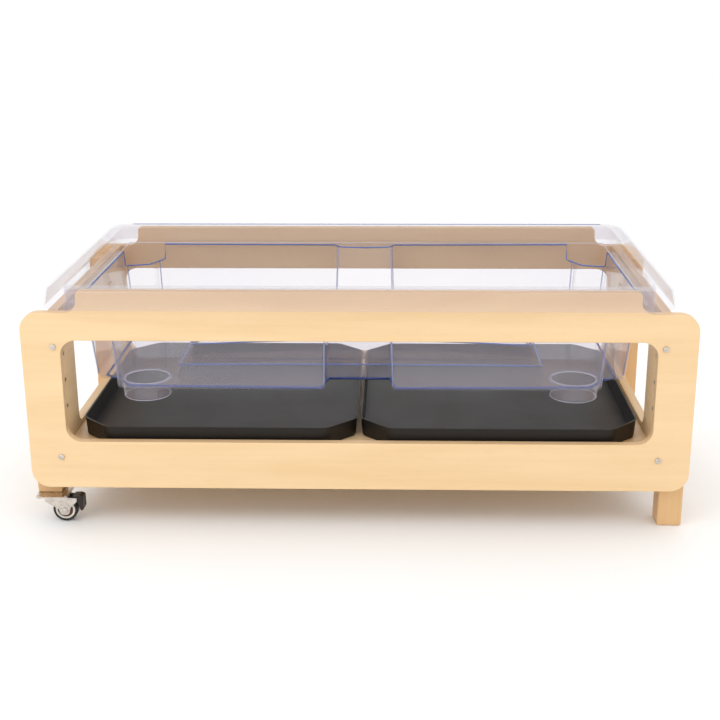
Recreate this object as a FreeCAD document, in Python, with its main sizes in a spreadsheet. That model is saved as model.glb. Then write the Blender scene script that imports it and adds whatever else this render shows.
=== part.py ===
import FreeCAD, Part
import math
import os
import re

# Sand and water table: a birch plywood frame on two legs and two swivel casters, a clear
# thermoformed tub hooked over the long panels, and two black trays on a low shelf.
# Frame: +X along the length (casters at -X, legs at +X), -Y the front, +Z up, floor at z = 0.

V = FreeCAD.Vector
doc = FreeCAD.newDocument("sand_water_table")
sheet = doc.addObject("Spreadsheet::Sheet", "dims")

DRIVING = {
    # plywood frame
    "half_length": 625, "half_depth": 300, "ply": 18,
    "panel_low": 78, "shoulder_top": 426, "raised_top": 467, "raised_half": 517,
    "opening_half": 552, "opening_low": 172, "opening_high": 372,
    "outer_corner": 35, "opening_corner": 29, "raised_corner": 9, "shoulder_corner": 22,
    "edge_round": 1.6,
    "end_inner": 557, "end_opening_half": 180, "end_opening_low": 167, "end_opening_corner": 24,
    "post": 46, "post_top": 406, "short_post_low": 60,
    "shelf_top": 158, "shelf_gap": 0.5, "cleat_end": 45, "cleat_tall": 24, "cleat_deep": 22,
    # fasteners
    "bolt_row_low": 141, "bolt_row_high": 360, "bolt_place": 565,
    "bolt_radius": 3, "bolt_head_radius": 5.8, "bolt_head_tall": 3.4, "bolt_length": 52,
    "hex_radius": 2.3, "dowel_radius": 5, "dowel_length": 12,
    "screw_radius": 2, "screw_head_radius": 4, "screw_length": 34,
    # trays
    "tray_gap": 6, "tray_end": 537, "tray_half_depth": 279, "tray_tall": 37,
    "tray_taper": 3, "tray_cut": 56, "tray_bend": 30, "tray_wall": 2.4,
    "tray_lip": 0.8, "tray_foot_round": 4,
    # tub
    "tub_wall": 3.2, "rim_half_x": 584, "rim_half_y": 318, "rim_low": 434, "rim_top": 471.5,
    "rim_corner": 52, "rim_lean": 7, "rim_round": 9, "collar_corner": 28,
    "collar_half_x": 547, "collar_half_y": 272, "ledge_top": 432, "pocket_floor": 400,
    "pocket_start_x": 453, "pocket_start_y": 186, "tub_floor": 262,
    "bay_low_x": 460, "bay_top_x": 471, "bay_low_y": 244, "bay_top_y": 265,
    "end_low_x": 515, "end_top_x": 531, "end_low_y": 180, "end_top_y": 196,
    "channel_low_x": 66, "channel_top_x": 61, "channel_low_y": 173, "channel_top_y": 231,
    "step_low_x": 362, "step_low_y": 172, "step_low_bow": 6, "step_low_tall": 22,
    "step_high_x": 346, "step_high_y": 100, "step_high_bow": 34, "step_high_tall": 42,
    "well_x": 418, "well_y": 175, "well_radius": 44, "well_floor": 229,
    # casters
    "swivel_x": 590, "swivel_y": 275, "trail": 19, "wheel_radius": 24, "tyre_inner": 19.3,
    "tyre_wide": 18, "ring_inner": 15.3, "axle_radius": 4, "running_gap": 0.05,
    "plate_x": 62, "plate_y": 64, "plate_thick": 3, "cup_radius": 19, "fork_thick": 2,
    "fork_inside": 24, "fork_top": 50.4,
}
for row, (alias, value) in enumerate(DRIVING.items(), start=1):
    sheet.set("A%d" % row, alias)
    sheet.set("B%d" % row, str(value))
    sheet.setAlias("B%d" % row, alias)
doc.recompute()


def dim(alias):
    """One driving dimension, in millimetres."""
    return float(sheet.get(alias))


def bound(text):
    """An expression in the sheet's aliases, written without the sheet's name."""
    return re.sub(r"[a-z][a-z_]+", lambda word: "dims." + word.group(0), str(text))


def solid_box(name, low, size):
    """A box from its low corner and its size, both in the sheet's words."""
    box = doc.addObject("Part::Box", name)
    for prop, text in zip(("Length", "Width", "Height"), size):
        box.setExpression(prop, bound(text))
    for axis, text in zip("xyz", low):
        box.setExpression("Placement.Base." + axis, bound(text))
    return box


TURN = {
    "z": FreeCAD.Rotation(),
    "x": FreeCAD.Rotation(V(0, 1, 0), 90),
    "y": FreeCAD.Rotation(V(1, 0, 0), -90),
}


def rod(name, start, axis, radius, length):
    """A cylinder that starts at a point and runs along +x, +y or +z."""
    cylinder = doc.addObject("Part::Cylinder", name)
    cylinder.setExpression("Radius", bound(radius))
    cylinder.setExpression("Height", bound(length))
    cylinder.Placement.Rotation = TURN[axis]
    for letter, text in zip("xyz", start):
        cylinder.setExpression("Placement.Base." + letter, bound(text))
    return cylinder


def fused(name, pieces):
    union = doc.addObject("Part::MultiFuse", name)
    union.Shapes = pieces
    union.Refine = True
    return union


def minus(name, base, tool):
    cut = doc.addObject("Part::Cut", name)
    cut.Base = base
    cut.Tool = tool
    cut.Refine = True
    return cut


def group(name, pieces):
    """Separate identical pieces, such as a set of screws, held in one object."""
    bundle = doc.addObject("Part::Compound", name)
    bundle.Links = pieces
    return bundle


def rounded(name, base, wanted):
    """Rounds the edges for which wanted(edge) gives a radius."""
    doc.recompute()
    fillet = doc.addObject("Part::Fillet", name)
    fillet.Base = base
    picks = []
    for number, edge in enumerate(base.Shape.Edges, start=1):
        radius = wanted(edge)
        if radius:
            picks.append((number, radius, radius))
    fillet.Edges = picks
    return fillet


def made(name, shape):
    """A sub-part whose shape is made with Part's own functions, at the place it was made."""
    feature = doc.addObject("Part::Feature", name)
    feature.Shape = shape
    feature.Placement = shape.Placement
    return feature


NODES = {}


def node(name, thing):
    """Names a finished sub-part after its node."""
    thing.Label = name
    NODES[name] = thing
    return thing


def straight(edge, axis):
    """True for a straight edge along the given axis."""
    if not isinstance(edge.Curve, Part.Line):
        return False
    return abs(abs(edge.Curve.Direction.dot(axis)) - 1) < 1e-6


# ---------------------------------------------------------------- plywood frame

X_AXIS, Y_AXIS, Z_AXIS = V(1, 0, 0), V(0, 1, 0), V(0, 0, 1)


def long_panel(name, low_y):
    """A front or back panel: raised middle, S-curve shoulders and one long opening."""
    sheet_wide = solid_box(name + "_blank", ("-half_length", low_y, "panel_low"),
                           ("2 * half_length", "ply", "shoulder_top - panel_low"))
    raised = solid_box(name + "_raised", ("-raised_half", low_y, "opening_high"),
                       ("2 * raised_half", "ply", "raised_top - opening_high"))
    opening = solid_box(name + "_opening", ("-opening_half", low_y + " - ply", "opening_low"),
                        ("2 * opening_half", "3 * ply", "opening_high - opening_low"))
    outline = fused(name + "_outline", [sheet_wide, raised])
    frame = minus(name + "_square", outline, opening)

    def corner(edge):
        if not straight(edge, Y_AXIS):
            return 0
        place = edge.CenterOfMass
        if abs(abs(place.x) - dim("half_length")) < 1:
            return dim("outer_corner")
        if abs(abs(place.x) - dim("opening_half")) < 1:
            return dim("opening_corner")
        if abs(place.z - dim("raised_top")) < 1:
            return dim("raised_corner")
        if abs(place.z - dim("shoulder_top")) < 1:
            return dim("shoulder_corner")
        return 0

    cornered = rounded(name + "_cornered", frame, corner)
    doc.recompute()
    faces_y = (cornered.Shape.BoundBox.YMin, cornered.Shape.BoundBox.YMax)
    eased = rounded(name + "_eased", cornered,
                    lambda edge: dim("edge_round") if any(
                        abs(edge.BoundBox.YMin - y) < 1e-3 and abs(edge.BoundBox.YMax - y) < 1e-3
                        for y in faces_y) else 0)
    holes = fused(name + "_holes", [
        rod("%s_hole_%d" % (name, number), (place, low_y + " - ply", row), "y",
            "bolt_radius + 0.2", "3 * ply")
        for number, (place, row) in enumerate(
            [(sign + "bolt_place", row) for sign in ("", "-")
             for row in ("bolt_row_low", "bolt_row_high")])])
    return node(name, minus(name, eased, holes))


long_panel("front_panel", "-half_depth")
long_panel("back_panel", "half_depth - ply")


def screw_rows():
    """Heights of the screws that hold a post to an end panel."""
    return ("opening_low + 60", "opening_low + 112", "opening_low + 164")


def end_panel(name, side):
    """An end panel between the long panels, with one rounded opening."""
    low_x = "end_inner" if side > 0 else "-end_inner - ply"
    blank = solid_box(name + "_blank", (low_x, "-half_depth + ply", "panel_low"),
                      ("ply", "2 * half_depth - 2 * ply", "shoulder_top - panel_low"))
    opening = solid_box(name + "_opening", (low_x + " - ply", "-end_opening_half", "end_opening_low"),
                        ("3 * ply", "2 * end_opening_half", "opening_high - end_opening_low"))
    square = minus(name + "_square", blank, opening)

    def corner(edge):
        inside = abs(abs(edge.CenterOfMass.y) - dim("end_opening_half")) < 1
        return dim("end_opening_corner") if straight(edge, X_AXIS) and inside else 0

    cornered = rounded(name + "_cornered", square, corner)
    doc.recompute()
    box = cornered.Shape.BoundBox

    def ease(edge):
        on_face = any(abs(edge.BoundBox.XMin - x) < 1e-3 and abs(edge.BoundBox.XMax - x) < 1e-3
                      for x in (box.XMin, box.XMax))
        inside = abs(edge.CenterOfMass.y) < dim("end_opening_half") + 1
        top = abs(edge.CenterOfMass.z - dim("shoulder_top")) < 1
        low = abs(edge.CenterOfMass.z - dim("panel_low")) < 1
        return dim("edge_round") if on_face and (inside or top) and not low else 0

    eased = rounded(name + "_eased", cornered, ease)
    inner_x = "end_inner" if side > 0 else "-end_inner"
    dowel_x = inner_x if side > 0 else inner_x + " - dowel_length"
    screw_x = inner_x if side > 0 else inner_x + " - screw_length"
    bolt_x = "bolt_place" if side > 0 else "-bolt_place"
    bores = []
    for row in ("bolt_row_low", "bolt_row_high"):
        for sign in (1, -1):
            label = "%s_%s_%d" % (name, row, sign + 1)
            near = "half_depth - 46" if sign > 0 else "-half_depth + 46"
            start = "half_depth - ply - 40" if sign > 0 else "-half_depth + ply - 10"
            bores.append(rod(label + "_dowel_bore", (dowel_x, near, row), "x",
                             "dowel_radius", "dowel_length"))
            bores.append(rod(label + "_bolt_bore", (bolt_x, start, row), "y",
                             "bolt_radius + 0.2", "50"))
    for number, row in enumerate(screw_rows()):
        for sign in (1, -1):
            y_place = ("" if sign > 0 else "-") + "(half_depth - ply - post / 2 + 3)"
            label = "%s_screw_bore_%d_%d" % (name, number, sign + 1)
            bores.append(rod(label, (screw_x, y_place, row), "x", "screw_radius", "screw_length"))
    return node(name, minus(name, eased, fused(name + "_bores", bores)))


for side_name, side in (("left", -1), ("right", 1)):
    end_panel(side_name + "_end_panel", side)


def post(name, side, front, low):
    """A square post behind a long panel and outside an end panel."""
    low_x = "end_inner + ply" if side > 0 else "-end_inner - ply - post"
    low_y = "-half_depth + ply" if front else "half_depth - ply - post"
    blank = solid_box(name + "_blank", (low_x, low_y, low), ("post", "post", "post_top - " + low))
    eased = rounded(name + "_eased", blank, lambda edge: 2.5 if edge.BoundBox.ZMax < dim("post_top") + 1
                    and not straight(edge, Z_AXIS) and edge.BoundBox.ZMin < 100 else (
                        2.0 if straight(edge, Z_AXIS) else 0))
    y_place = ("-" if front else "") + "(half_depth - ply - post / 2 + 3)"
    screw_x = "end_inner" if side > 0 else "-end_inner - screw_length"
    bores = [rod("%s_bore_%d" % (name, number), (screw_x, y_place, row), "x",
                 "screw_radius", "screw_length")
             for number, row in enumerate(screw_rows())]
    return node(name, minus(name, eased, fused(name + "_bores", bores)))


post("right_front_leg", 1, True, "0")
post("right_back_leg", 1, False, "0")
post("left_front_post", -1, True, "short_post_low")
post("left_back_post", -1, False, "short_post_low")

# Shelf board on two battens, level with the lower edge of the long opening.
node("shelf", solid_box("shelf", ("-end_inner + shelf_gap", "-half_depth + ply + shelf_gap",
                                  "shelf_top - ply"),
                        ("2 * end_inner - 2 * shelf_gap",
                         "2 * (half_depth - ply - shelf_gap)", "ply")))
for cleat_name, low_y in (("front_shelf_cleat", "-half_depth + ply"),
                          ("back_shelf_cleat", "half_depth - ply - cleat_deep")):
    node(cleat_name, rounded(cleat_name, solid_box(
        cleat_name + "_blank", ("-end_inner + cleat_end", low_y, "shelf_top - ply - cleat_tall"),
        ("2 * (end_inner - cleat_end)", "cleat_deep", "cleat_tall")),
        lambda edge: 1.5 if straight(edge, X_AXIS) and edge.CenterOfMass.z < 140 else 0))


# ---------------------------------------------------------------- fasteners

def panel_bolt(name, side, front, row):
    """A button-head bolt with a hexagon socket, through a long panel into an end panel."""
    out = -1 if front else 1
    x_place = ("" if side > 0 else "-") + "bolt_place"
    face = "-half_depth" if front else "half_depth"
    shank_y = face if front else face + " - bolt_length"
    head_y = face + " - bolt_head_tall" if front else face
    shank = rod(name + "_shank", (x_place, shank_y, row), "y", "bolt_radius", "bolt_length")
    head = rod(name + "_head", (x_place, head_y, row), "y", "bolt_head_radius", "bolt_head_tall")
    dome = rounded(name + "_dome", head, lambda edge: 2.2 if abs(
        edge.CenterOfMass.y - out * (dim("half_depth") + dim("bolt_head_tall"))) < 0.01
        and isinstance(edge.Curve, Part.Circle) else 0)
    socket = doc.addObject("Part::Prism", name + "_socket")
    socket.Polygon = 6
    socket.setExpression("Circumradius", bound("hex_radius"))
    socket.Height = 6
    socket.Placement.Rotation = TURN["y"]
    socket.setExpression("Placement.Base.x", bound(x_place))
    socket.setExpression("Placement.Base.y", bound(face + (" - 8" if front else " + 2")))
    socket.setExpression("Placement.Base.z", bound(row))
    return minus(name, fused(name + "_body", [shank, dome]), socket)


def barrel_nut(name, side, front, row):
    inner_x = "end_inner" if side > 0 else "-end_inner - dowel_length"
    y_place = "-half_depth + 46" if front else "half_depth - 46"
    barrel = rod(name + "_barrel", (inner_x, y_place, row), "x", "dowel_radius", "dowel_length")
    through = rod(name + "_thread", (("" if side > 0 else "-") + "bolt_place",
                                     y_place + " - 10", row), "y", "bolt_radius", "20")
    return minus(name, barrel, through)


bolts, nuts = [], []
for side in (-1, 1):
    for front in (True, False):
        for row in ("bolt_row_low", "bolt_row_high"):
            label = "%d%d_%s" % (side + 1, front, row)
            bolts.append(panel_bolt("bolt_" + label, side, front, row))
            nuts.append(barrel_nut("barrel_" + label, side, front, row))
node("panel_bolts", group("panel_bolts", bolts))
node("barrel_nuts", group("barrel_nuts", nuts))

post_screws = []
for side in (-1, 1):
    for sign in ("-", ""):
        for number, row in enumerate(screw_rows()):
            label = "post_screw_%d_%s_%d" % (side + 1, "front" if sign else "back", number)
            y_place = sign + "(half_depth - ply - post / 2 + 3)"
            start = "end_inner" if side > 0 else "-end_inner - screw_length"
            head_start = "end_inner - 1.2" if side > 0 else "-end_inner"
            shank = rod(label + "_shank", (start, y_place, row), "x", "screw_radius", "screw_length")
            head = rod(label + "_head", (head_start, y_place, row), "x", "screw_head_radius", "1.2")
            post_screws.append(fused(label, [shank, head]))
node("post_screws", group("post_screws", post_screws))


# ---------------------------------------------------------------- rounded outlines

def rounded_outline(corners, radii, height):
    """A closed wire at one height: straight sides joined by tangent arcs."""
    count = len(corners)
    starts, ends, middles = [], [], []
    for index in range(count):
        here = V(corners[index][0], corners[index][1], height)
        before = V(corners[index - 1][0], corners[index - 1][1], height) - here
        after = V(*corners[(index + 1) % count], height) - here
        before.normalize()
        after.normalize()
        half = before.getAngle(after) / 2
        back = radii[index] / math.tan(half)
        centre = here + (before + after).normalize() * (radii[index] / math.sin(half))
        starts.append(here + before * back)
        ends.append(here + after * back)
        middles.append(centre + (here - centre).normalize() * radii[index])
    edges = []
    for index in range(count):
        edges.append(Part.Arc(starts[index], middles[index], ends[index]).toShape())
        edges.append(Part.LineSegment(ends[index], starts[(index + 1) % count]).toShape())
    return Part.Wire(edges)


def rounded_rectangle(low_x, high_x, low_y, high_y, radius, height):
    corners = [(low_x, low_y), (high_x, low_y), (high_x, high_y), (low_x, high_y)]
    return rounded_outline(corners, [radius] * 4, height)


def lofted(lower, upper):
    return Part.makeLoft([lower, upper], True, True)


# ---------------------------------------------------------------- trays

def tray_outline(low_x, high_x, inset, height):
    """A tray's plan: a rectangle with its corners cut off and the cuts' ends rounded."""
    deep = dim("tray_half_depth") - inset
    cut = dim("tray_cut") - inset * (2 - math.sqrt(2))
    low_x, high_x = low_x + inset, high_x - inset
    points = [(low_x + cut, -deep), (high_x - cut, -deep), (high_x, -deep + cut),
              (high_x, deep - cut), (high_x - cut, deep), (low_x + cut, deep),
              (low_x, deep - cut), (low_x, -deep + cut)]
    return rounded_outline(points, [dim("tray_bend") - inset] * len(points), height)


def tray(name, side):
    """A moulded tray: nearly upright thin walls, a flat floor and a small turned-out rim."""
    gap, end = dim("tray_gap") / 2, dim("tray_end")
    low_x, high_x = (gap, end) if side > 0 else (-end, -gap)
    low_z, top_z = dim("shelf_top"), dim("shelf_top") + dim("tray_tall")
    taper, wall, lip = dim("tray_taper"), dim("tray_wall"), dim("tray_lip")
    hair = 0.01

    def ring(inset, height):
        return tray_outline(low_x, high_x, inset, height)

    outer = lofted(ring(taper + lip, low_z), ring(lip, top_z))
    foot = [edge for edge in outer.Edges if edge.BoundBox.ZMax < low_z + hair]
    outer = outer.makeFillet(dim("tray_foot_round"), foot)
    rim = lofted(ring(lip / 2, top_z - wall), ring(0, top_z))
    hollow = lofted(ring(taper + lip + wall, low_z + wall), ring(lip + wall, top_z + hair))
    return node(name, made(name, outer.fuse(rim).cut(hollow).removeSplitter()))


tray("left_tray", -1)
tray("right_tray", 1)


# ---------------------------------------------------------------- tub

def basin_outline(level, grow, height):
    """The basin in plan: two long bays, a narrower channel between them and set-back ends.
    level is 0 at the basin's floor and 1 at the ledge; grow moves the outline outwards."""
    def between(part, axis):
        low, top = dim("%s_low_%s" % (part, axis)), dim("%s_top_%s" % (part, axis))
        return low + (top - low) * level

    bay_x, bay_y = between("bay", "x") + grow, between("bay", "y") + grow
    end_x, end_y = between("end", "x") + grow, between("end", "y") + grow
    channel_x, channel_y = between("channel", "x") - grow, between("channel", "y") + grow
    quarter = [(channel_x, channel_y), (channel_x, bay_y), (bay_x, bay_y), (bay_x, end_y),
               (end_x, end_y)]
    bend = [7 - grow, 7 + grow, 16 + grow, 9 - grow, 16 + grow]
    first = [(x, -y) for x, y in quarter]
    second = [(x, y) for x, y in reversed(quarter)]
    third = [(-x, y) for x, y in quarter]
    fourth = [(-x, -y) for x, y in reversed(quarter)]
    radii = bend + bend[::-1] + bend + bend[::-1]
    return rounded_outline(first + second + third + fourth, radii, height)


def rectangle_block(half_x, half_y, radius, low, high, lean=0.0):
    lower = rounded_rectangle(-half_x, half_x, -half_y, half_y, radius, low)
    upper = rounded_rectangle(-half_x + lean, half_x - lean, -half_y + lean, half_y - lean,
                              radius - lean, high)
    return lofted(lower, upper)


def top_edges(solid, height):
    return [edge for edge in solid.Edges
            if abs(edge.BoundBox.ZMin - height) < 0.01 and abs(edge.BoundBox.ZMax - height) < 0.01]


def pocket_blocks(grow, low, high):
    """The four corner pockets, as blocks that reach past the basin's outline."""
    blocks = []
    start_x, start_y = dim("pocket_start_x") - grow, dim("pocket_start_y") - grow
    far_x, far_y = dim("collar_half_x") + grow, dim("collar_half_y") + grow
    for sign_x in (-1, 1):
        for sign_y in (-1, 1):
            xs = sorted((sign_x * start_x, sign_x * far_x))
            ys = sorted((sign_y * start_y, sign_y * far_y))
            lower = rounded_rectangle(xs[0], xs[1], ys[0], ys[1], 8 + grow, low)
            upper = rounded_rectangle(xs[0], xs[1], ys[0], ys[1], 8 + grow, high)
            blocks.append(lofted(lower, upper))
    return blocks


def island(half_x, half_y, bow, low, high, lean):
    """One step of the raised island: its long sides bow inwards by bow at mid-length."""
    def ring(inset, height):
        x, y = half_x - inset, half_y - inset
        near = Part.Arc(V(-x, -y, height), V(0, -y + bow, height), V(x, -y, height)).toShape()
        right = Part.LineSegment(V(x, -y, height), V(x, y, height)).toShape()
        far = Part.Arc(V(x, y, height), V(0, y - bow, height), V(-x, y, height)).toShape()
        left = Part.LineSegment(V(-x, y, height), V(-x, -y, height)).toShape()
        return Part.Wire([near, right, far, left])
    return lofted(ring(0, low), ring(lean, high))


BASIN_ROUND, WELL_ROUND, RIM_INNER_ROUND = 5, 4, 2.8


def island_steps(inset, low):
    """Both steps of the island, inset by the wall when they are cut from below."""
    floor, overlap = dim("tub_floor"), 1 + inset
    lower = island(dim("step_low_x") - inset, dim("step_low_y") - inset, dim("step_low_bow"),
                   low, floor + dim("step_low_tall") - inset, 6)
    upper = island(dim("step_high_x") - inset, dim("step_high_y") - inset, dim("step_high_bow"),
                   floor + dim("step_low_tall") - overlap - inset,
                   floor + dim("step_high_tall") - inset, 5)
    return lower.fuse(upper)


def well_cylinder(side, grow, low, high):
    place = V(side * dim("well_x"), -dim("well_y"), low)
    return Part.makeCylinder(dim("well_radius") + grow, high - low, place)


def tub_shape():
    """The whole tub: rim and skirt, collar, ledge, bays, ends, channel, pockets and wells."""
    wall, lean, hair = dim("tub_wall"), dim("rim_lean"), 0.01
    low, top, under_top = dim("rim_low"), dim("rim_top"), dim("raised_top")
    floor, ledge, well_floor = dim("tub_floor"), dim("ledge_top"), dim("well_floor")
    pocket_floor, collar_corner = dim("pocket_floor"), dim("collar_corner")

    rim = rectangle_block(dim("rim_half_x"), dim("rim_half_y"), dim("rim_corner"), low, top, lean)
    rim = rim.makeFillet(dim("rim_round"), top_edges(rim, top))
    hollow = rectangle_block(dim("rim_half_x") - wall, dim("rim_half_y") - wall,
                             dim("rim_corner") - wall, low - 1, under_top, lean)
    hollow = hollow.makeFillet(dim("rim_round") - wall, top_edges(hollow, under_top))
    collar = rectangle_block(dim("collar_half_x") + wall, dim("collar_half_y") + wall,
                             collar_corner + wall, ledge - wall, top - 1)
    basin = lofted(basin_outline(0, wall, floor - wall), basin_outline(1, wall, ledge))
    basin = basin.makeFillet(BASIN_ROUND + 1, [edge for edge in basin.Edges
                                               if edge.BoundBox.ZMax < floor - wall + hair])
    shell = rim.cut(hollow)
    shell = shell.fuse([collar, basin] + pocket_blocks(wall, pocket_floor - wall, ledge))
    for side in (-1, 1):
        cup = well_cylinder(side, wall, well_floor - wall, floor - wall)
        bottom = [edge for edge in cup.Edges if edge.BoundBox.ZMax < well_floor - wall + hair]
        shell = shell.fuse(cup.makeFillet(WELL_ROUND, bottom))

    mouth = rectangle_block(dim("collar_half_x"), dim("collar_half_y"), collar_corner, ledge,
                            top + hair)
    inside = lofted(basin_outline(0, 0, floor), basin_outline(1, 0, ledge + hair))
    inside = inside.makeFillet(BASIN_ROUND, [edge for edge in inside.Edges
                                             if edge.BoundBox.ZMax < floor + hair])
    inside = inside.cut(island_steps(0, floor - wall - hair))
    shell = shell.cut(mouth).cut(inside)
    for block in pocket_blocks(0, pocket_floor, ledge + hair):
        shell = shell.cut(block)
    for side in (-1, 1):
        shell = shell.cut(well_cylinder(side, 0, well_floor, floor + hair))
    shell = shell.cut(island_steps(wall, floor - wall - 2 * hair))
    rim_inner = [edge for edge in top_edges(shell, top)
                 if max(abs(edge.CenterOfMass.x) / dim("collar_half_x"),
                        abs(edge.CenterOfMass.y) / dim("collar_half_y")) < 1.01]
    return shell.makeFillet(RIM_INNER_ROUND, rim_inner)


node("tub", made("tub", tub_shape()))


# ---------------------------------------------------------------- casters

def profile_pad(name, points, radii, low_y, wide):
    """A plate cut to an outline in XZ, from low_y towards the back."""
    wire = rounded_outline(points, radii, 0)
    face = Part.Face(wire)
    solid = face.extrude(V(0, 0, wide))
    solid.rotate(V(0, 0, 0), X_AXIS, 90)
    solid.translate(V(0, low_y + wide, 0))
    return solid


def caster(prefix, front):
    """A swivel caster with a trailing wheel and a foot brake, under a short post."""
    sign = -1 if front else 1
    x_text, y_text = "-swivel_x", ("-" if front else "") + "swivel_y"
    pivot = V(-dim("swivel_x"), sign * dim("swivel_y"), 0)
    axle_x = "-swivel_x + trail"
    plate_low = "short_post_low - plate_thick"

    # fixed top: plate, its screws, the raceway cup and the king rivet
    plate = solid_box(prefix + "plate_blank", (x_text + " - plate_x / 2", y_text + " - plate_y / 2",
                                               plate_low), ("plate_x", "plate_y", "plate_thick"))
    plate_round = rounded(prefix + "plate_round", plate,
                          lambda edge: 6 if straight(edge, Z_AXIS) else 0)
    inward = "+" if front else "-"
    outward = "-" if front else "+"
    screw_spots = [("-26", inward), ("8", inward)]
    holes = [rod("%splate_hole_%d" % (prefix, number),
                 ("%s + (%s)" % (x_text, across), "%s %s 26" % (y_text, way),
                  plate_low + " - 1"), "z", "2.6", "plate_thick + 2")
             for number, (across, way) in enumerate([("-26", outward), ("26", outward)])]
    holes += [rod("%sscrew_hole_%d" % (prefix, number),
                  ("%s + (%s)" % (x_text, across), "%s %s 26" % (y_text, way),
                   plate_low + " - 1"), "z", "screw_radius", "plate_thick + 2")
              for number, (across, way) in enumerate(screw_spots)]
    holes.append(rod(prefix + "rivet_hole", (x_text, y_text, plate_low + " - 1"), "z",
                     "axle_radius", "plate_thick + 2"))
    node(prefix + "plate", minus(prefix + "plate", plate_round, fused(prefix + "holes", holes)))

    screws = []
    for number, (across, way) in enumerate(screw_spots):
        x_place, y_place = "%s + (%s)" % (x_text, across), "%s %s 26" % (y_text, way)
        shank = rod("%sscrew_%d_shank" % (prefix, number), (x_place, y_place, plate_low), "z",
                    "screw_radius", "20")
        head = rod("%sscrew_%d_head" % (prefix, number), (x_place, y_place, plate_low + " - 2"),
                   "z", "screw_head_radius", "2")
        screws.append(fused("%sscrew_%d" % (prefix, number), [shank, head]))
    node(prefix + "plate_screws", group(prefix + "plate_screws", screws))

    low, cup_top = dim("fork_top"), dim("short_post_low") - dim("plate_thick")
    cup = Part.makeCylinder(dim("cup_radius"), 3.6, pivot + V(0, 0, cup_top - 3.6))
    groove = Part.makeTorus(14, 2.6, pivot + V(0, 0, cup_top - 5.4))
    cup = cup.cut(groove).cut(Part.makeCylinder(4.6, 5, pivot + V(0, 0, cup_top - 4)))
    node(prefix + "raceway", made(prefix + "raceway", cup))

    rivet = Part.makeCylinder(4, cup_top + dim("plate_thick") - low + 3.4,
                              pivot + V(0, 0, low - 3.4))
    rivet = rivet.fuse(Part.makeCylinder(6.5, 1.2, pivot + V(0, 0, low - 3.7)))
    node(prefix + "king_rivet", made(prefix + "king_rivet", rivet.removeSplitter()))

    # turning fork
    wheel = V(pivot.x + dim("trail"), pivot.y, dim("wheel_radius"))
    half_in, thick = dim("fork_inside") / 2, dim("fork_thick")
    outline = [(pivot.x - 18, low), (pivot.x - 18, low - 7), (wheel.x - 11, wheel.z + 3),
               (wheel.x - 8, wheel.z - 9), (wheel.x + 8, wheel.z - 9), (wheel.x + 12, wheel.z + 6),
               (wheel.x + 25, low - 7), (wheel.x + 25, low)]
    plates = profile_pad(prefix + "fork", outline, [2, 3, 8, 7, 7, 8, 3, 2],
                         pivot.y - half_in - thick, 2 * (half_in + thick))
    slot = Part.makeBox(90, 2 * half_in, 60, V(pivot.x - 30, pivot.y - half_in, low - thick - 60))
    trail_gap = Part.makeBox(40, 2 * half_in, 20, V(pivot.x + 17, pivot.y - half_in, low - 10))
    fork = plates.cut(slot).cut(trail_gap)
    fork = fork.cut(Part.makeCylinder(4 + dim("running_gap"), 9, pivot + V(0, 0, low - 6)))
    across_y = V(0, 1, 0)
    fork = fork.cut(Part.makeCylinder(4, 40, V(wheel.x, pivot.y - 20, wheel.z), across_y))
    pin_place = V(wheel.x + 21, pivot.y - 20, low - 3.9)
    fork = fork.cut(Part.makeCylinder(1.8, 40, pin_place, across_y))
    node(prefix + "fork", made(prefix + "fork", fork))

    balls = [Part.makeSphere(1.75, pivot + V(14 * math.cos(turn), 14 * math.sin(turn), low + 1.76))
             for turn in (index * math.pi / 6 for index in range(12))]
    node(prefix + "bearing_balls", made(prefix + "bearing_balls", Part.makeCompound(balls)))

    reach = half_in + thick
    shaft = Part.makeCylinder(4, 2 * reach, V(wheel.x, pivot.y - reach, wheel.z), across_y)
    head = Part.makeCylinder(6.5, 2.6, V(wheel.x, pivot.y + sign * reach - (2.6 if front else 0),
                                         wheel.z), across_y)
    head = head.makeFillet(1.4, [edge for edge in head.Edges if abs(
        edge.CenterOfMass.y - (pivot.y + sign * (reach + 2.6))) < 0.01
        and isinstance(edge.Curve, Part.Circle)])
    tail = Part.makeCylinder(3, 6, V(wheel.x, pivot.y - sign * reach - (0 if front else 6), wheel.z),
                             across_y)
    node(prefix + "axle_bolt", made(prefix + "axle_bolt", shaft.fuse([head, tail]).removeSplitter()))
    nut_wire = Part.makePolygon([V(7.2 * math.cos(a), 0, 7.2 * math.sin(a)) for a in
                                 (index * math.pi / 3 for index in range(7))])
    nut = Part.Face(nut_wire).extrude(V(0, 4.4, 0))
    nut.translate(V(wheel.x, pivot.y - sign * reach - (0 if front else 4.4), wheel.z))
    nut = nut.cut(Part.makeCylinder(3, 12, V(wheel.x, pivot.y - sign * reach - 6, wheel.z), across_y))
    node(prefix + "axle_nut", made(prefix + "axle_nut", nut))

    # wheel: hub, ivory ring and tyre, turned about the axle
    def turned(points, smooth=0.0, picks=None):
        face = Part.Face(Part.makePolygon([V(r, 0, w) for r, w in points + points[:1]]))
        ring = face.revolve(V(0, 0, 0), Z_AXIS, 360)
        if smooth:
            ring = ring.makeFillet(smooth, [edge for edge in ring.Edges if picks(edge)])
        ring.rotate(V(0, 0, 0), X_AXIS, 90)
        ring.translate(wheel)
        return ring

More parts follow.
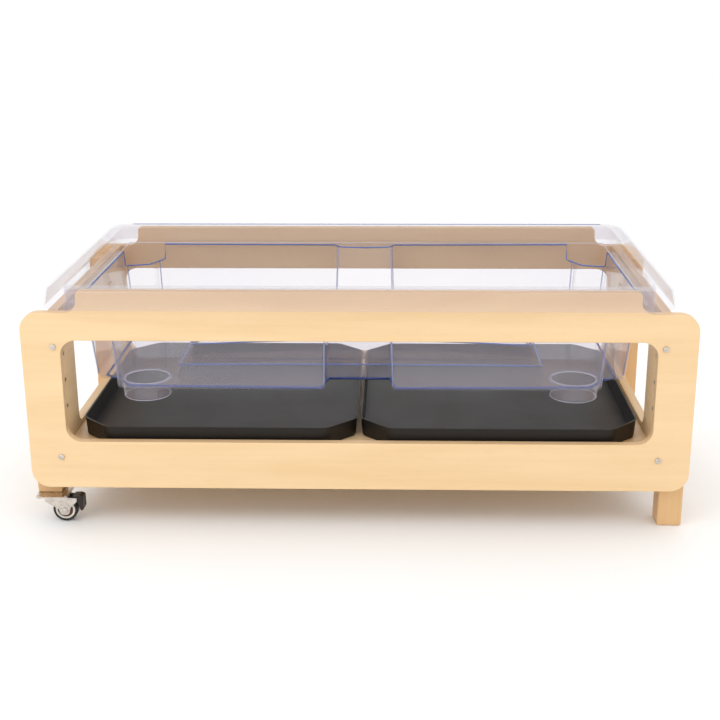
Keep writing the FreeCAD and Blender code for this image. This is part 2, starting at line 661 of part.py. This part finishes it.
    bore = 4 + dim("running_gap")
    ring_in, tyre_in, tread = dim("ring_inner"), dim("tyre_inner"), dim("wheel_radius")
    half = dim("tyre_wide") / 2
    hub = turned([(bore, -11.4), (7, -11.4), (7, -6.5), (ring_in, -6), (ring_in, 6), (7, 6.5),
                  (7, 11.4), (bore, 11.4)])
    node(prefix + "wheel_hub", made(prefix + "wheel_hub", hub))
    disc = turned([(ring_in, -8.6), (ring_in + 1, -8.6), (tyre_in - 1, -8.2), (tyre_in, -7.5),
                   (tyre_in, 7.5), (tyre_in - 1, 8.2), (ring_in + 1, 8.6), (ring_in, 8.6)])
    node(prefix + "wheel_ring", made(prefix + "wheel_ring", disc))
    tyre = turned([(tyre_in, -half + 0.6), (tyre_in + 1, -half), (tread, -half), (tread, half),
                   (tyre_in + 1, half), (tyre_in, half - 0.6)], 3.2,
                  lambda edge: isinstance(edge.Curve, Part.Circle)
                  and abs(edge.Curve.Radius - tread) < 0.01)
    node(prefix + "tyre", made(prefix + "tyre", tyre))

    # foot brake: a moulded pedal on a pin through the fork's trailing arms
    pin_x, pin_z = wheel.x + 21, low - 3.9
    shape = [(pin_x - 5, pin_z + 4), (pin_x - 3, pin_z + 7), (pin_x + 9, pin_z + 7.8),
             (pin_x + 16, pin_z + 5), (pin_x + 16, pin_z - 20), (pin_x + 12, pin_z - 24),
             (pin_x + 8.5, pin_z - 20), (pin_x + 6, pin_z - 6), (pin_x - 4, pin_z - 4)]
    pedal = profile_pad(prefix + "pedal", shape, [2, 3, 4, 4, 2.4, 1.6, 2.4, 3, 2],
                        pivot.y - half_in + 0.8, 2 * half_in - 1.6)
    pedal = pedal.cut(Part.makeCylinder(1.8 + dim("running_gap"), 40, pin_place, across_y))
    node(prefix + "brake_pedal", made(prefix + "brake_pedal", pedal))
    pin = Part.makeCylinder(1.8, 2 * reach + 1, V(pin_x, pivot.y - reach - 0.5, pin_z), across_y)
    caps = [Part.makeCylinder(3.2, 1, V(pin_x, pivot.y - reach - 1, pin_z), across_y),
            Part.makeCylinder(3.2, 1, V(pin_x, pivot.y + reach, pin_z), across_y)]
    node(prefix + "pedal_pin", made(prefix + "pedal_pin", pin.fuse(caps).removeSplitter()))


caster("front_caster_", True)
caster("back_caster_", False)

# ---------------------------------------------------------------- checks and export

doc.recompute()
for thing in doc.Objects:
    if "Invalid" in thing.State or "Error" in thing.State:
        raise RuntimeError("%s failed: %s" % (thing.Label, thing.State))
os.makedirs("parts", exist_ok=True)
for name, thing in NODES.items():
    shape = thing.Shape
    if shape.isNull() or not shape.isValid() or not shape.Solids:
        raise RuntimeError(name + " has no valid solid")
    shape.exportStep("parts/%s.step" % name)
    box = shape.BoundBox
    print("%-28s solids %2d volume %10.1f  x %7.1f %7.1f  y %7.1f %7.1f  z %6.1f %6.1f" % (
        name, len(shape.Solids), shape.Volume, box.XMin, box.XMax, box.YMin, box.YMax,
        box.ZMin, box.ZMax))
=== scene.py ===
import math

import bpy
from mathutils import Matrix, Vector


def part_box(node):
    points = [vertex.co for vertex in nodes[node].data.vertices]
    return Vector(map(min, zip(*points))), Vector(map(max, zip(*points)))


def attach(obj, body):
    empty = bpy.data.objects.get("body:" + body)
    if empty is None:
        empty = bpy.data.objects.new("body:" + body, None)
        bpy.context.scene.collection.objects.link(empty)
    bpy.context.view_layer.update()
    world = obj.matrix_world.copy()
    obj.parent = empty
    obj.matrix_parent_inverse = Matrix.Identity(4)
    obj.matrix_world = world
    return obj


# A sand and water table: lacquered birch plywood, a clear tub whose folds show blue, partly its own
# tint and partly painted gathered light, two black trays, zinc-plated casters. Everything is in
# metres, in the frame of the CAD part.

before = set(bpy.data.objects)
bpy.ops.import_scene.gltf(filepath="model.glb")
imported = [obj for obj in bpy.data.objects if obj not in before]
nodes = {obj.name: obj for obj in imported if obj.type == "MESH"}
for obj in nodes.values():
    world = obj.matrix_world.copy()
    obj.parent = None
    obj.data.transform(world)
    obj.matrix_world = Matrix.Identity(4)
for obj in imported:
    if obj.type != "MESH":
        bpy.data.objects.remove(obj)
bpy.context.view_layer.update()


# ---------------------------------------------------------------- node helpers

class Graph:
    """A material's node tree, with short calls to add and join its nodes."""

    def __init__(self, name):
        self.material = bpy.data.materials.new(name)
        self.material.use_nodes = True
        self.tree = self.material.node_tree
        self.shader = self.tree.nodes["Principled BSDF"]

    def add(self, kind, inputs=(), **settings):
        made = self.tree.nodes.new("ShaderNode" + kind)
        for key, value in settings.items():
            setattr(made, key, value)
        for key, value in dict(inputs).items():
            self.feed(made.inputs[key], value)
        return made

    def feed(self, socket, value):
        if isinstance(value, bpy.types.NodeSocket):
            self.tree.links.new(value, socket)
        else:
            socket.default_value = value

    def set(self, **values):
        """Sets or feeds the shader's own sockets; an underscore stands for a space."""
        for key, value in values.items():
            self.feed(self.shader.inputs[key.replace("_", " ")], value)

    def place(self, scale):
        """Object coordinates, stretched by scale."""
        coordinates = self.add("TexCoord").outputs["Object"]
        return self.add("Mapping", {"Vector": coordinates, "Scale": scale}).outputs["Vector"]

    def noise(self, vector, scale, detail=4.0, rough=0.55, distortion=0.0):
        made = self.add("TexNoise", {"Vector": vector, "Scale": scale, "Detail": detail,
                                     "Roughness": rough, "Distortion": distortion})
        return made.outputs["Fac"]

    def ramp(self, value, stops):
        """A colour ramp from a list of (place, colour)."""
        made = self.add("ValToRGB", {"Fac": value})
        elements = made.color_ramp.elements
        while len(elements) < len(stops):
            elements.new(0.5)
        for element, (place, colour) in zip(elements, stops):
            element.position = place
            element.color = tuple(colour) + (1.0,) if len(colour) == 3 else colour
        return made.outputs["Color"]

    def span(self, value, low, high, to_low=0.0, to_high=1.0):
        made = self.add("MapRange", {"Value": value, "From Min": low, "From Max": high,
                                     "To Min": to_low, "To Max": to_high})
        return made.outputs["Result"]

    def mix(self, factor, first, second, blend="MIX"):
        made = self.add("Mix", data_type="RGBA", blend_type=blend)
        self.feed(made.inputs["Factor"], factor)
        self.feed(made.inputs["A"], first)
        self.feed(made.inputs["B"], second)
        colours = [socket for socket in made.outputs if socket.type == "RGBA"]
        return colours[0]

    def maths(self, kind, first, second=0.0):
        made = self.add("Math", operation=kind)
        self.feed(made.inputs[0], first)
        self.feed(made.inputs[1], second)
        return made.outputs[0]

    def bump(self, height, strength, distance):
        made = self.add("Bump", {"Height": height, "Strength": strength, "Distance": distance})
        self.set(Normal=made.outputs["Normal"])


def linear(red, green, blue):
    """A colour given as it looks on a screen, from 0 to 255, as scene-linear light."""
    def one(value):
        value /= 255
        return value / 12.92 if value <= 0.04045 else ((value + 0.055) / 1.055) ** 2.4
    return (one(red), one(green), one(blue), 1.0)


# ---------------------------------------------------------------- materials

AXES = {"X": 0, "Y": 1, "Z": 2}


def stretched(axis, along, across):
    """A mapping scale that draws grain out along one axis."""
    scale = [across] * 3
    scale[AXES[axis]] = along
    return tuple(scale)


def wood(name, grain, light, dark, ply_axis=None, ply_thickness=0.018, ply_start=0.0):
    """Lacquered birch: drawn-out figure, fine pores and, on cut edges, the plies."""
    g = Graph(name)
    broad = g.noise(g.place(stretched(grain, 1.6, 9)), 1.0, 3.0, 0.5, 1.6)
    figure = g.noise(g.place(stretched(grain, 2.6, 70)), 1.0, 5.0, 0.6, 0.6)
    pores = g.noise(g.place(stretched(grain, 30, 900)), 1.0, 2.0, 0.5)
    mellow = g.noise(g.place((1.3, 1.3, 1.3)), 1.0, 2.0)
    tone = g.maths("ADD", g.maths("MULTIPLY", broad, 0.55), g.maths("MULTIPLY", figure, 0.45))
    face = g.mix(g.span(tone, 0.34, 0.70, 0.0, 0.85), light, dark)
    face = g.mix(g.span(mellow, 0.3, 0.7, 0.0, 0.22), face, dark)
    face = g.mix(g.span(pores, 0.60, 0.78, 0.0, 0.16), face, linear(150, 104, 62))
    if ply_axis:
        coordinates = g.add("TexCoord")
        across = g.add("SeparateXYZ", {"Vector": coordinates.outputs["Object"]}).outputs[ply_axis]
        facing = g.add("SeparateXYZ", {"Vector": coordinates.outputs["Normal"]}).outputs[ply_axis]
        layers = g.maths("MULTIPLY", g.maths("SUBTRACT", across, ply_start), 6.5 / ply_thickness)
        wave = g.maths("PINGPONG", layers, 0.5)
        plies = g.ramp(wave, [(0.20, linear(246, 219, 176)), (0.30, linear(206, 162, 110))])
        plies = g.mix(g.span(figure, 0.35, 0.7, 0.0, 0.35), plies, linear(176, 128, 82))
        edge = g.span(g.maths("ABSOLUTE", facing), 0.45, 0.30)
        face = g.mix(g.maths("MULTIPLY", edge, 0.75), face, plies)
    g.set(Base_Color=face, Coat_Weight=0.25, Coat_Roughness=0.25, Specular_IOR_Level=0.4)
    g.set(Roughness=g.span(figure, 0.3, 0.7, 0.42, 0.54))
    g.bump(g.maths("ADD", g.maths("MULTIPLY", figure, 0.6), g.maths("MULTIPLY", pores, -0.5)),
           0.12, 0.0004)
    return g.material


def clear_plastic(name):
    """Clear thermoformed sheet: a faint lavender tint, mirror gloss and a trace of haze."""
    g = Graph(name)
    cloud = g.noise(g.place((2.5, 2.5, 2.5)), 1.0, 2.0)
    tint = g.mix(g.span(cloud, 0.3, 0.7), (0.90, 0.885, 0.91, 1), (0.93, 0.91, 0.915, 1))
    inside = g.add("NewGeometry").outputs["Backfacing"]
    tint = g.mix(inside, tint, (1, 1, 1, 1))
    ripple = g.noise(g.place((10, 10, 10)), 1.0, 2.0)
    bumped = g.add("Bump", {"Height": ripple, "Strength": 0.05, "Distance": 0.002})
    clear = g.add("BsdfTransparent", {"Color": tint})
    gloss = g.add("BsdfGlossy", {"Roughness": 0.05, "Normal": bumped.outputs["Normal"]})
    gleam = g.add("Fresnel", {"IOR": 1.4}).outputs["Fac"]
    gleam = g.mix(inside, gleam, (0, 0, 0, 1))
    pane = g.add("MixShader", {0: gleam, 1: clear.outputs["BSDF"], 2: gloss.outputs["BSDF"]})
    g.set(Base_Color=g.mix(cloud, linear(214, 214, 232), linear(226, 222, 232)), Roughness=0.1)
    haze = g.add("MixShader", {0: 0.07, 1: pane.outputs["Shader"], 2: g.shader.outputs["BSDF"]})
    g.tree.links.new(haze.outputs["Shader"], g.tree.nodes["Material Output"].inputs["Surface"])
    return g.material


def fold_glow_and_tint(name, colour, strength, share):
    """The coloured light that a fold or a cut edge of the clear sheet gathers."""
    g = Graph(name)
    cloud = g.noise(g.place((9, 9, 9)), 1.0, 3.0)
    deep = tuple(value * 0.8 for value in colour[:3]) + (1.0,)
    shade = g.mix(g.span(cloud, 0.3, 0.7), colour, deep)
    g.set(Base_Color=shade, Roughness=0.25)
    clear = g.add("BsdfTransparent", {"Color": (strength, strength, min(1.0, strength + 0.1), 1)})
    mixed = g.add("MixShader", {0: share, 1: clear.outputs["BSDF"], 2: g.shader.outputs["BSDF"]})
    g.tree.links.new(mixed.outputs["Shader"], g.tree.nodes["Material Output"].inputs["Surface"])
    return g.material


def black_tray(name):
    """Fine-grained black moulding with a dusty brown sheen."""
    g = Graph(name)
    cloud = g.noise(g.place((5, 5, 5)), 1.0, 4.0)
    grain = g.noise(g.place((900, 900, 900)), 1.0, 3.0, 0.7)
    g.set(Base_Color=g.mix(g.span(cloud, 0.3, 0.7), linear(14, 11, 9), linear(24, 20, 16)))
    g.set(Roughness=g.span(cloud, 0.3, 0.7, 0.40, 0.50), Specular_IOR_Level=0.4)
    g.bump(grain, 0.12, 0.0003)
    return g.material


def zinc(name):
    """Bright zinc plate with faint mottling and brush marks."""
    g = Graph(name)
    mottle = g.noise(g.place((160, 160, 160)), 1.0, 4.0, 0.6)
    brush = g.noise(g.place((60, 1800, 1800)), 1.0, 2.0)
    g.set(Base_Color=g.mix(g.span(mottle, 0.35, 0.7), linear(222, 214, 206), linear(190, 182, 176)))
    g.set(Metallic=1.0, Roughness=g.span(brush, 0.3, 0.7, 0.20, 0.36))
    g.bump(mottle, 0.06, 0.0003)
    return g.material


def moulded(name, colour, rough=0.35, grain=700.0):
    """A small moulded plastic piece with a fine skin texture."""
    g = Graph(name)
    cloud = g.noise(g.place((40, 40, 40)), 1.0, 3.0)
    skin = g.noise(g.place((grain, grain, grain)), 1.0, 2.0)
    shade = tuple(value * 0.8 for value in colour[:3]) + (1.0,)
    g.set(Base_Color=g.mix(g.span(cloud, 0.3, 0.7), colour, shade))
    g.set(Roughness=g.span(skin, 0.3, 0.7, rough - 0.06, rough + 0.08))
    g.bump(skin, 0.08, 0.0002)
    return g.material


PANEL_LIGHT, PANEL_DARK = linear(243, 211, 165), linear(232, 196, 146)
POST_LIGHT, POST_DARK = linear(226, 186, 134), linear(206, 162, 110)

WOODS = {
    "front_panel": ("X", PANEL_LIGHT, PANEL_DARK, "Y"),
    "back_panel": ("X", PANEL_LIGHT, PANEL_DARK, "Y"),
    "left_end_panel": ("Y", PANEL_LIGHT, PANEL_DARK, "X"),
    "right_end_panel": ("Y", PANEL_LIGHT, PANEL_DARK, "X"),
    "shelf": ("X", PANEL_LIGHT, PANEL_DARK, "Z"),
    "front_shelf_cleat": ("X", POST_LIGHT, POST_DARK, None),
    "back_shelf_cleat": ("X", POST_LIGHT, POST_DARK, None),
    "right_front_leg": ("Z", POST_LIGHT, POST_DARK, None),
    "right_back_leg": ("Z", POST_LIGHT, POST_DARK, None),
    "left_front_post": ("Z", POST_LIGHT, POST_DARK, None),
    "left_back_post": ("Z", POST_LIGHT, POST_DARK, None),
}


def dress(name, material):
    """Gives a CAD node its material."""
    mesh = nodes[name].data
    mesh.materials.clear()
    mesh.materials.append(material)


for wood_node, (grain, light, dark, ply_axis) in WOODS.items():
    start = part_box(wood_node)[0][AXES[ply_axis]] if ply_axis else 0.0
    dress(wood_node, wood("birch_" + wood_node, grain, light, dark, ply_axis, ply_start=start))

dress("tub", clear_plastic("clear_tub"))
tray_skin = black_tray("black_tray")
dress("left_tray", tray_skin)
dress("right_tray", tray_skin)

plated = zinc("zinc_plate")
rubber = moulded("tyre_rubber", linear(28, 25, 25), 0.5, 500.0)
ivory = moulded("ivory_ring", linear(232, 226, 214), 0.32)
pedal_skin = moulded("pedal_moulding", linear(34, 24, 20), 0.35)
brown = moulded("brown_moulding", linear(104, 62, 44), 0.3)
for fastener in ("panel_bolts", "barrel_nuts", "post_screws"):
    dress(fastener, plated)
for end in ("front_caster_", "back_caster_"):
    for piece in ("plate", "plate_screws", "raceway", "king_rivet", "fork", "bearing_balls",
                  "axle_bolt", "axle_nut", "pedal_pin"):
        dress(end + piece, plated)
    dress(end + "tyre", rubber)
    dress(end + "wheel_ring", ivory)
    dress(end + "wheel_hub", brown)
    dress(end + "brake_pedal", pedal_skin)


# ---------------------------------------------------------------- the tub's folds: their tint and the light they gather, painted on beads

# The tub's sizes in millimetres, as its CAD solid has them; a pair is at the floor, at the ledge.
MM = 0.001
BAY_X, BAY_Y = (460, 471), (244, 265)
END_X, END_Y = (515, 531), (180, 196)
CHANNEL_X, CHANNEL_Y = (66, 61), (173, 231)
CHANNEL_BEND, BAY_BEND, INNER_BEND, POCKET_BEND, POCKET_END_BEND = 7, 16, 9, 14, 6
STEP_LOW, STEP_LOW_TALL, STEP_LOW_INSET = (362, 172, 6), 22, 6
STEP_HIGH, STEP_HIGH_TALL, STEP_HIGH_INSET = (346, 100, 34), 42, 5
STEP_PARTS = 12
BEAD_SIDES = 6
WALL, FLOOR, LEDGE, POCKET = 3.2, 262.0, 432.0, 400.0
POCKET_X, POCKET_Y = 453.0, 186.0
RIM_X, RIM_Y, RIM_CORNER, RIM_LEAN, RIM_TOP, RIM_LOW = 584.0, 318.0, 52.0, 7.0, 471.5, 434.0
WELL_X, WELL_Y, WELL_R, WELL_FLOOR = 418.0, -175.0, 44.0, 229.0


def rounded_path(points, radii, closed=True, steps=6):
    """A flat path of (x, y) with each corner turned by an arc of its radius."""
    path = []
    count = len(points)
    for index, (point, radius) in enumerate(zip(points, radii)):
        here = Vector(point)
        if radius <= 0 or (not closed and index in (0, count - 1)):
            path.append(tuple(here))
            continue
        before = (Vector(points[index - 1]) - here).normalized()
        after = (Vector(points[(index + 1) % count]) - here).normalized()
        half = before.angle(after) / 2
        reach = radius / math.tan(half)
        middle = here + (before + after).normalized() * (radius / math.sin(half))
        start, end = here + before * reach - middle, here + after * reach - middle
        for step in range(steps + 1):
            share = step / steps
            path.append(tuple(middle + start.slerp(end, share) if start.angle(end) > 1e-4
                              else here))
    return path


def basin_sizes(height, grow):
    """Half sizes of the bays, ends and channel at a height, in millimetres."""
    level = (height - FLOOR) / (LEDGE - FLOOR)

    def between(low, high):
        return low + (high - low) * level

    return (between(*BAY_X) + grow, between(*BAY_Y) + grow, between(*END_X) + grow,
            between(*END_Y) + grow, between(*CHANNEL_X) - grow, between(*CHANNEL_Y) + grow)


def basin_ring(height, grow):
    """The basin's outline at a height, once round."""
    bay_x, bay_y, end_x, end_y, channel_x, channel_y = basin_sizes(height, grow)
    quarter = [(channel_x, channel_y), (channel_x, bay_y), (bay_x, bay_y), (bay_x, end_y),
               (end_x, end_y)]
    bend = [CHANNEL_BEND - grow, CHANNEL_BEND + grow, BAY_BEND + grow, INNER_BEND - grow,
            BAY_BEND + grow]
    back = quarter[::-1]
    points = ([(x, -y) for x, y in quarter] + [(x, y) for x, y in back]
              + [(-x, y) for x, y in quarter] + [(-x, -y) for x, y in back])
    return [(x, y, height) for x, y in
            rounded_path(points, bend + bend[::-1] + bend + bend[::-1])]


def bead(verts, faces, path, radius, closed):
    """Adds a tube along a path of points in millimetres."""
    points = [Vector(point) * MM for point in path]
    points = [p for i, p in enumerate(points) if i == 0 or (p - points[i - 1]).length > 1e-5]
    if closed and (points[0] - points[-1]).length < 1e-5:
        points.pop()
    count, sides, base = len(points), BEAD_SIDES, len(verts)
    for index, point in enumerate(points):
        ahead = points[(index + 1) % count] if closed or index < count - 1 else point
        behind = points[index - 1] if closed or index > 0 else point
        along = (ahead - behind).normalized()
        guide = Vector((0, 0, 1)) if abs(along.z) < 0.9 else Vector((1, 0, 0))
        across = along.cross(guide).normalized()
        lift = across.cross(along)
        for side in range(sides):
            turn = 2 * math.pi * side / sides
            verts.append(point + (across * math.cos(turn) + lift * math.sin(turn)) * radius * MM)
    rings = count if closed else count - 1
    for ring in range(rings):
        for side in range(sides):
            a = base + ring * sides + side
            b = base + ring * sides + (side + 1) % sides
            c = base + ((ring + 1) % count) * sides + (side + 1) % sides
            d = base + ((ring + 1) % count) * sides + side
            faces.append((a, b, c, d))
    if not closed:
        faces.append(tuple(base + side for side in reversed(range(sides))))
        faces.append(tuple(base + (count - 1) * sides + side for side in range(sides)))


def beads(name, paths, material):
    """One piece on the tub, made of a tube along each (path, radius, closed)."""
    verts, faces = [], []
    for path, radius, closed in paths:
        bead(verts, faces, path, radius, closed)
    mesh = bpy.data.meshes.new(name)
    mesh.from_pydata(verts, [], faces)
    mesh.update()
    for face in mesh.polygons:
        face.use_smooth = True
    mesh.materials.append(material)
    piece = bpy.data.objects.new(name, mesh)
    bpy.context.collection.objects.link(piece)
    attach(piece, "tub")


def mirrored(path):
    """The path in all four quarters of the plan."""
    return [[(sx * x, sy * y, z) for x, y, z in path] for sx in (-1, 1) for sy in (-1, 1)]


def ledge_path():
    """One quarter of the fold where the ledge drops into the basin and the pocket."""
    top_x, top_y, top_end_x, _, top_channel_x, top_channel_y = basin_sizes(LEDGE, 0)
    low_x, low_y, low_end_x, low_end_y, _, _ = basin_sizes(POCKET, 0)
    first = rounded_path([(0, top_channel_y), (top_channel_x, top_channel_y),
                          (top_channel_x, top_y), (POCKET_X, top_y)],
                         [0, CHANNEL_BEND, CHANNEL_BEND, 0], False)
    second = rounded_path([(POCKET_X, low_y), (low_x, low_y), (low_x, low_end_y),
                           (low_end_x, low_end_y), (low_end_x, POCKET_Y)],
                          [0, POCKET_BEND, INNER_BEND, POCKET_END_BEND, 0], False)
    return ([(x, y, LEDGE) for x, y in first] + [(x, y, POCKET) for x, y in second]
            + [(top_end_x, POCKET_Y, LEDGE), (top_end_x, 0, LEDGE)])


def step_ring(half_x, half_y, bow, height, inset):
    """The edge of an island step: straight ends and long sides that bow inwards."""
    x, y = half_x - inset, half_y - inset
    near = [(x * t / STEP_PARTS, -y + bow * (1 - (t / STEP_PARTS) ** 2), height)
            for t in range(-STEP_PARTS, STEP_PARTS + 1)]
    return near + [(-px, -py, height) for px, py, _ in near]


def circle(cx, cy, radius, height, steps=48):
    """A level ring of points."""
    return [(cx + radius * math.cos(2 * math.pi * i / steps),
             cy + radius * math.sin(2 * math.pi * i / steps), height) for i in range(steps)]


def rim_ring(inset, height):
    """The rim's outline, drawn in by inset."""
    x, y, r = RIM_X - inset, RIM_Y - inset, RIM_CORNER - inset
    return [(px, py, height) for px, py in
            rounded_path([(-x, -y), (x, -y), (x, y), (-x, y)], [r] * 4, True, 10)]


# Painted light: these colours are painted on thin tubes. The blue and navy lines of the folds are
# partly the sheet's own tint seen edge-on. The pale lines are painted glow, and the white lines on
# the rim and wells are painted highlights.
blue = fold_glow_and_tint("blue_fold", linear(104, 138, 214), 0.55, 0.8)
navy = fold_glow_and_tint("navy_fold", linear(58, 82, 160), 0.4, 0.85)
pale = fold_glow_and_tint("pale_fold", linear(186, 196, 232), 0.9, 0.45)
white_line = fold_glow_and_tint("white_fold", linear(236, 236, 246), 0.95, 0.6)

steps_high = step_ring(*STEP_HIGH, FLOOR + STEP_HIGH_TALL, STEP_HIGH_INSET)
steps_low = step_ring(*STEP_LOW, FLOOR + STEP_LOW_TALL, STEP_LOW_INSET)
beads("tub_ledge_folds", [(path, 1.5, False) for path in mirrored(ledge_path())]
      + [([(-RIM_X + RIM_CORNER, RIM_Y - RIM_LEAN - 4, RIM_TOP - 1.6),
           (RIM_X - RIM_CORNER, RIM_Y - RIM_LEAN - 4, RIM_TOP - 1.6)], 1.3, False),
         (steps_low, 1.5, True), (steps_high, 1.5, True)], blue)
beads("tub_base_folds", [(basin_ring(FLOOR - 0.6, WALL - 1.2), 2.4, True)], navy)
corner_low, corner_top = basin_sizes(FLOOR + 8, 1.0), basin_sizes(LEDGE - 8, 1.0)
uprights = []
for pick_x, pick_y, tuck in ((0, 1, -4), (4, 1, 2), (4, 5, -2), (2, 3, -4)):
    low_point = (corner_low[pick_x] + (tuck if pick_x != 4 else 0.6 * tuck),
                 corner_low[pick_y] + tuck * 0.9, FLOOR + 8)
    high = POCKET - 2 if pick_x in (0, 2) else LEDGE - 2
    share = (high - FLOOR - 8) / (LEDGE - FLOOR - 16)
    top_point = tuple(a + (b - a) * share for a, b in zip(
        low_point, (corner_top[pick_x] + (tuck if pick_x != 4 else 0.6 * tuck),
                    corner_top[pick_y] + tuck * 0.9, LEDGE - 8)))
    uprights += [(path, 1.5, False) for path in mirrored([low_point, top_point])]
beads("tub_upright_folds", uprights, pale)
beads("tub_well_rings", [(circle(side * WELL_X, WELL_Y, WELL_R, FLOOR - 0.6), 0.9, True)
                         for side in (-1, 1)]
      + [(circle(side * WELL_X, WELL_Y, WELL_R + WALL - 2.4, WELL_FLOOR - WALL + 1.4), 0.9, True)
         for side in (-1, 1)]
      + [(rim_ring(1.0, RIM_LOW + 1.0), 0.9, True)], white_line)
beads("tub_well_halos", [(circle(side * WELL_X, WELL_Y, WELL_R + 4.2, FLOOR - 0.8), 1.3, True)
                         for side in (-1, 1)], pale)


# ---------------------------------------------------------------- stage, light and camera

def floor():
    """A pale floor that runs well past the view."""
    bpy.ops.mesh.primitive_plane_add(size=40, location=(0, 0, -0.0005))
    plane = bpy.context.object
    plane.name = "studio_floor"
    g = Graph("studio_floor")
    cloud = g.noise(g.place((2, 2, 2)), 1.0, 2.0)
    g.set(Base_Color=g.mix(cloud, (0.93, 0.93, 0.93, 1), (0.95, 0.95, 0.95, 1)), Roughness=0.9)
    plane.data.materials.append(g.material)


def area_light(name, place, target, size, power):
    """A soft rectangular light that faces the target."""
    data = bpy.data.lights.new(name, "AREA")
    data.shape = "RECTANGLE"
    data.size, data.size_y = size
    data.energy = power
    light = bpy.data.objects.new(name, data)
    bpy.context.collection.objects.link(light)
    light.location = place
    light.rotation_mode = "QUATERNION"
    light.rotation_quaternion = (Vector(target) - Vector(place)).to_track_quat("-Z", "Y")


def studio():
    """White surroundings and three soft lights."""
    world = bpy.data.worlds.new("studio")
    bpy.context.scene.world = world
    world.use_nodes = True
    background = world.node_tree.nodes["Background"]
    background.inputs["Color"].default_value = (1.0, 1.0, 1.0, 1.0)
    background.inputs["Strength"].default_value = 1.06
    area_light("key", (-1.6, -2.0, 2.6), (0, 0, 0.3), (1.8, 1.4), 16)
    area_light("fill", (2.2, -1.6, 1.8), (0, 0, 0.3), (1.6, 1.6), 3)
    area_light("back", (0.2, 2.4, 2.4), (0, 0, 0.3), (2.4, 1.0), 8)


def camera():
    """A front view from a little right of centre, looking down about 17.5 degrees."""
    pitch, yaw, roll = 0.3062066, -0.0312200, 0.0050173
    forward = Vector((math.sin(yaw) * math.cos(pitch), math.cos(yaw) * math.cos(pitch),
                      -math.sin(pitch)))
    level = Vector((math.cos(yaw), -math.sin(yaw), 0))
    down = forward.cross(level)
    right = math.cos(roll) * level + math.sin(roll) * down
    up = -(math.cos(roll) * down - math.sin(roll) * level)
    data = bpy.data.cameras.new("camera")
    data.lens = 62.49
    data.sensor_width = 36.0
    eye = bpy.data.objects.new("camera", data)
    bpy.context.collection.objects.link(eye)
    turn = Matrix((right, up, -forward)).transposed()
    eye.matrix_world = Matrix.Translation((0.073856, -2.498978, 1.032887)) @ turn.to_4x4()
    bpy.context.scene.camera = eye


floor()
studio()
camera()
bpy.context.scene.view_settings.view_transform = "Standard"
# A ray through the tub meets more clear faces than the usual limit, which leaves the rim black.
bpy.context.scene.cycles.transparent_max_bounces = 32
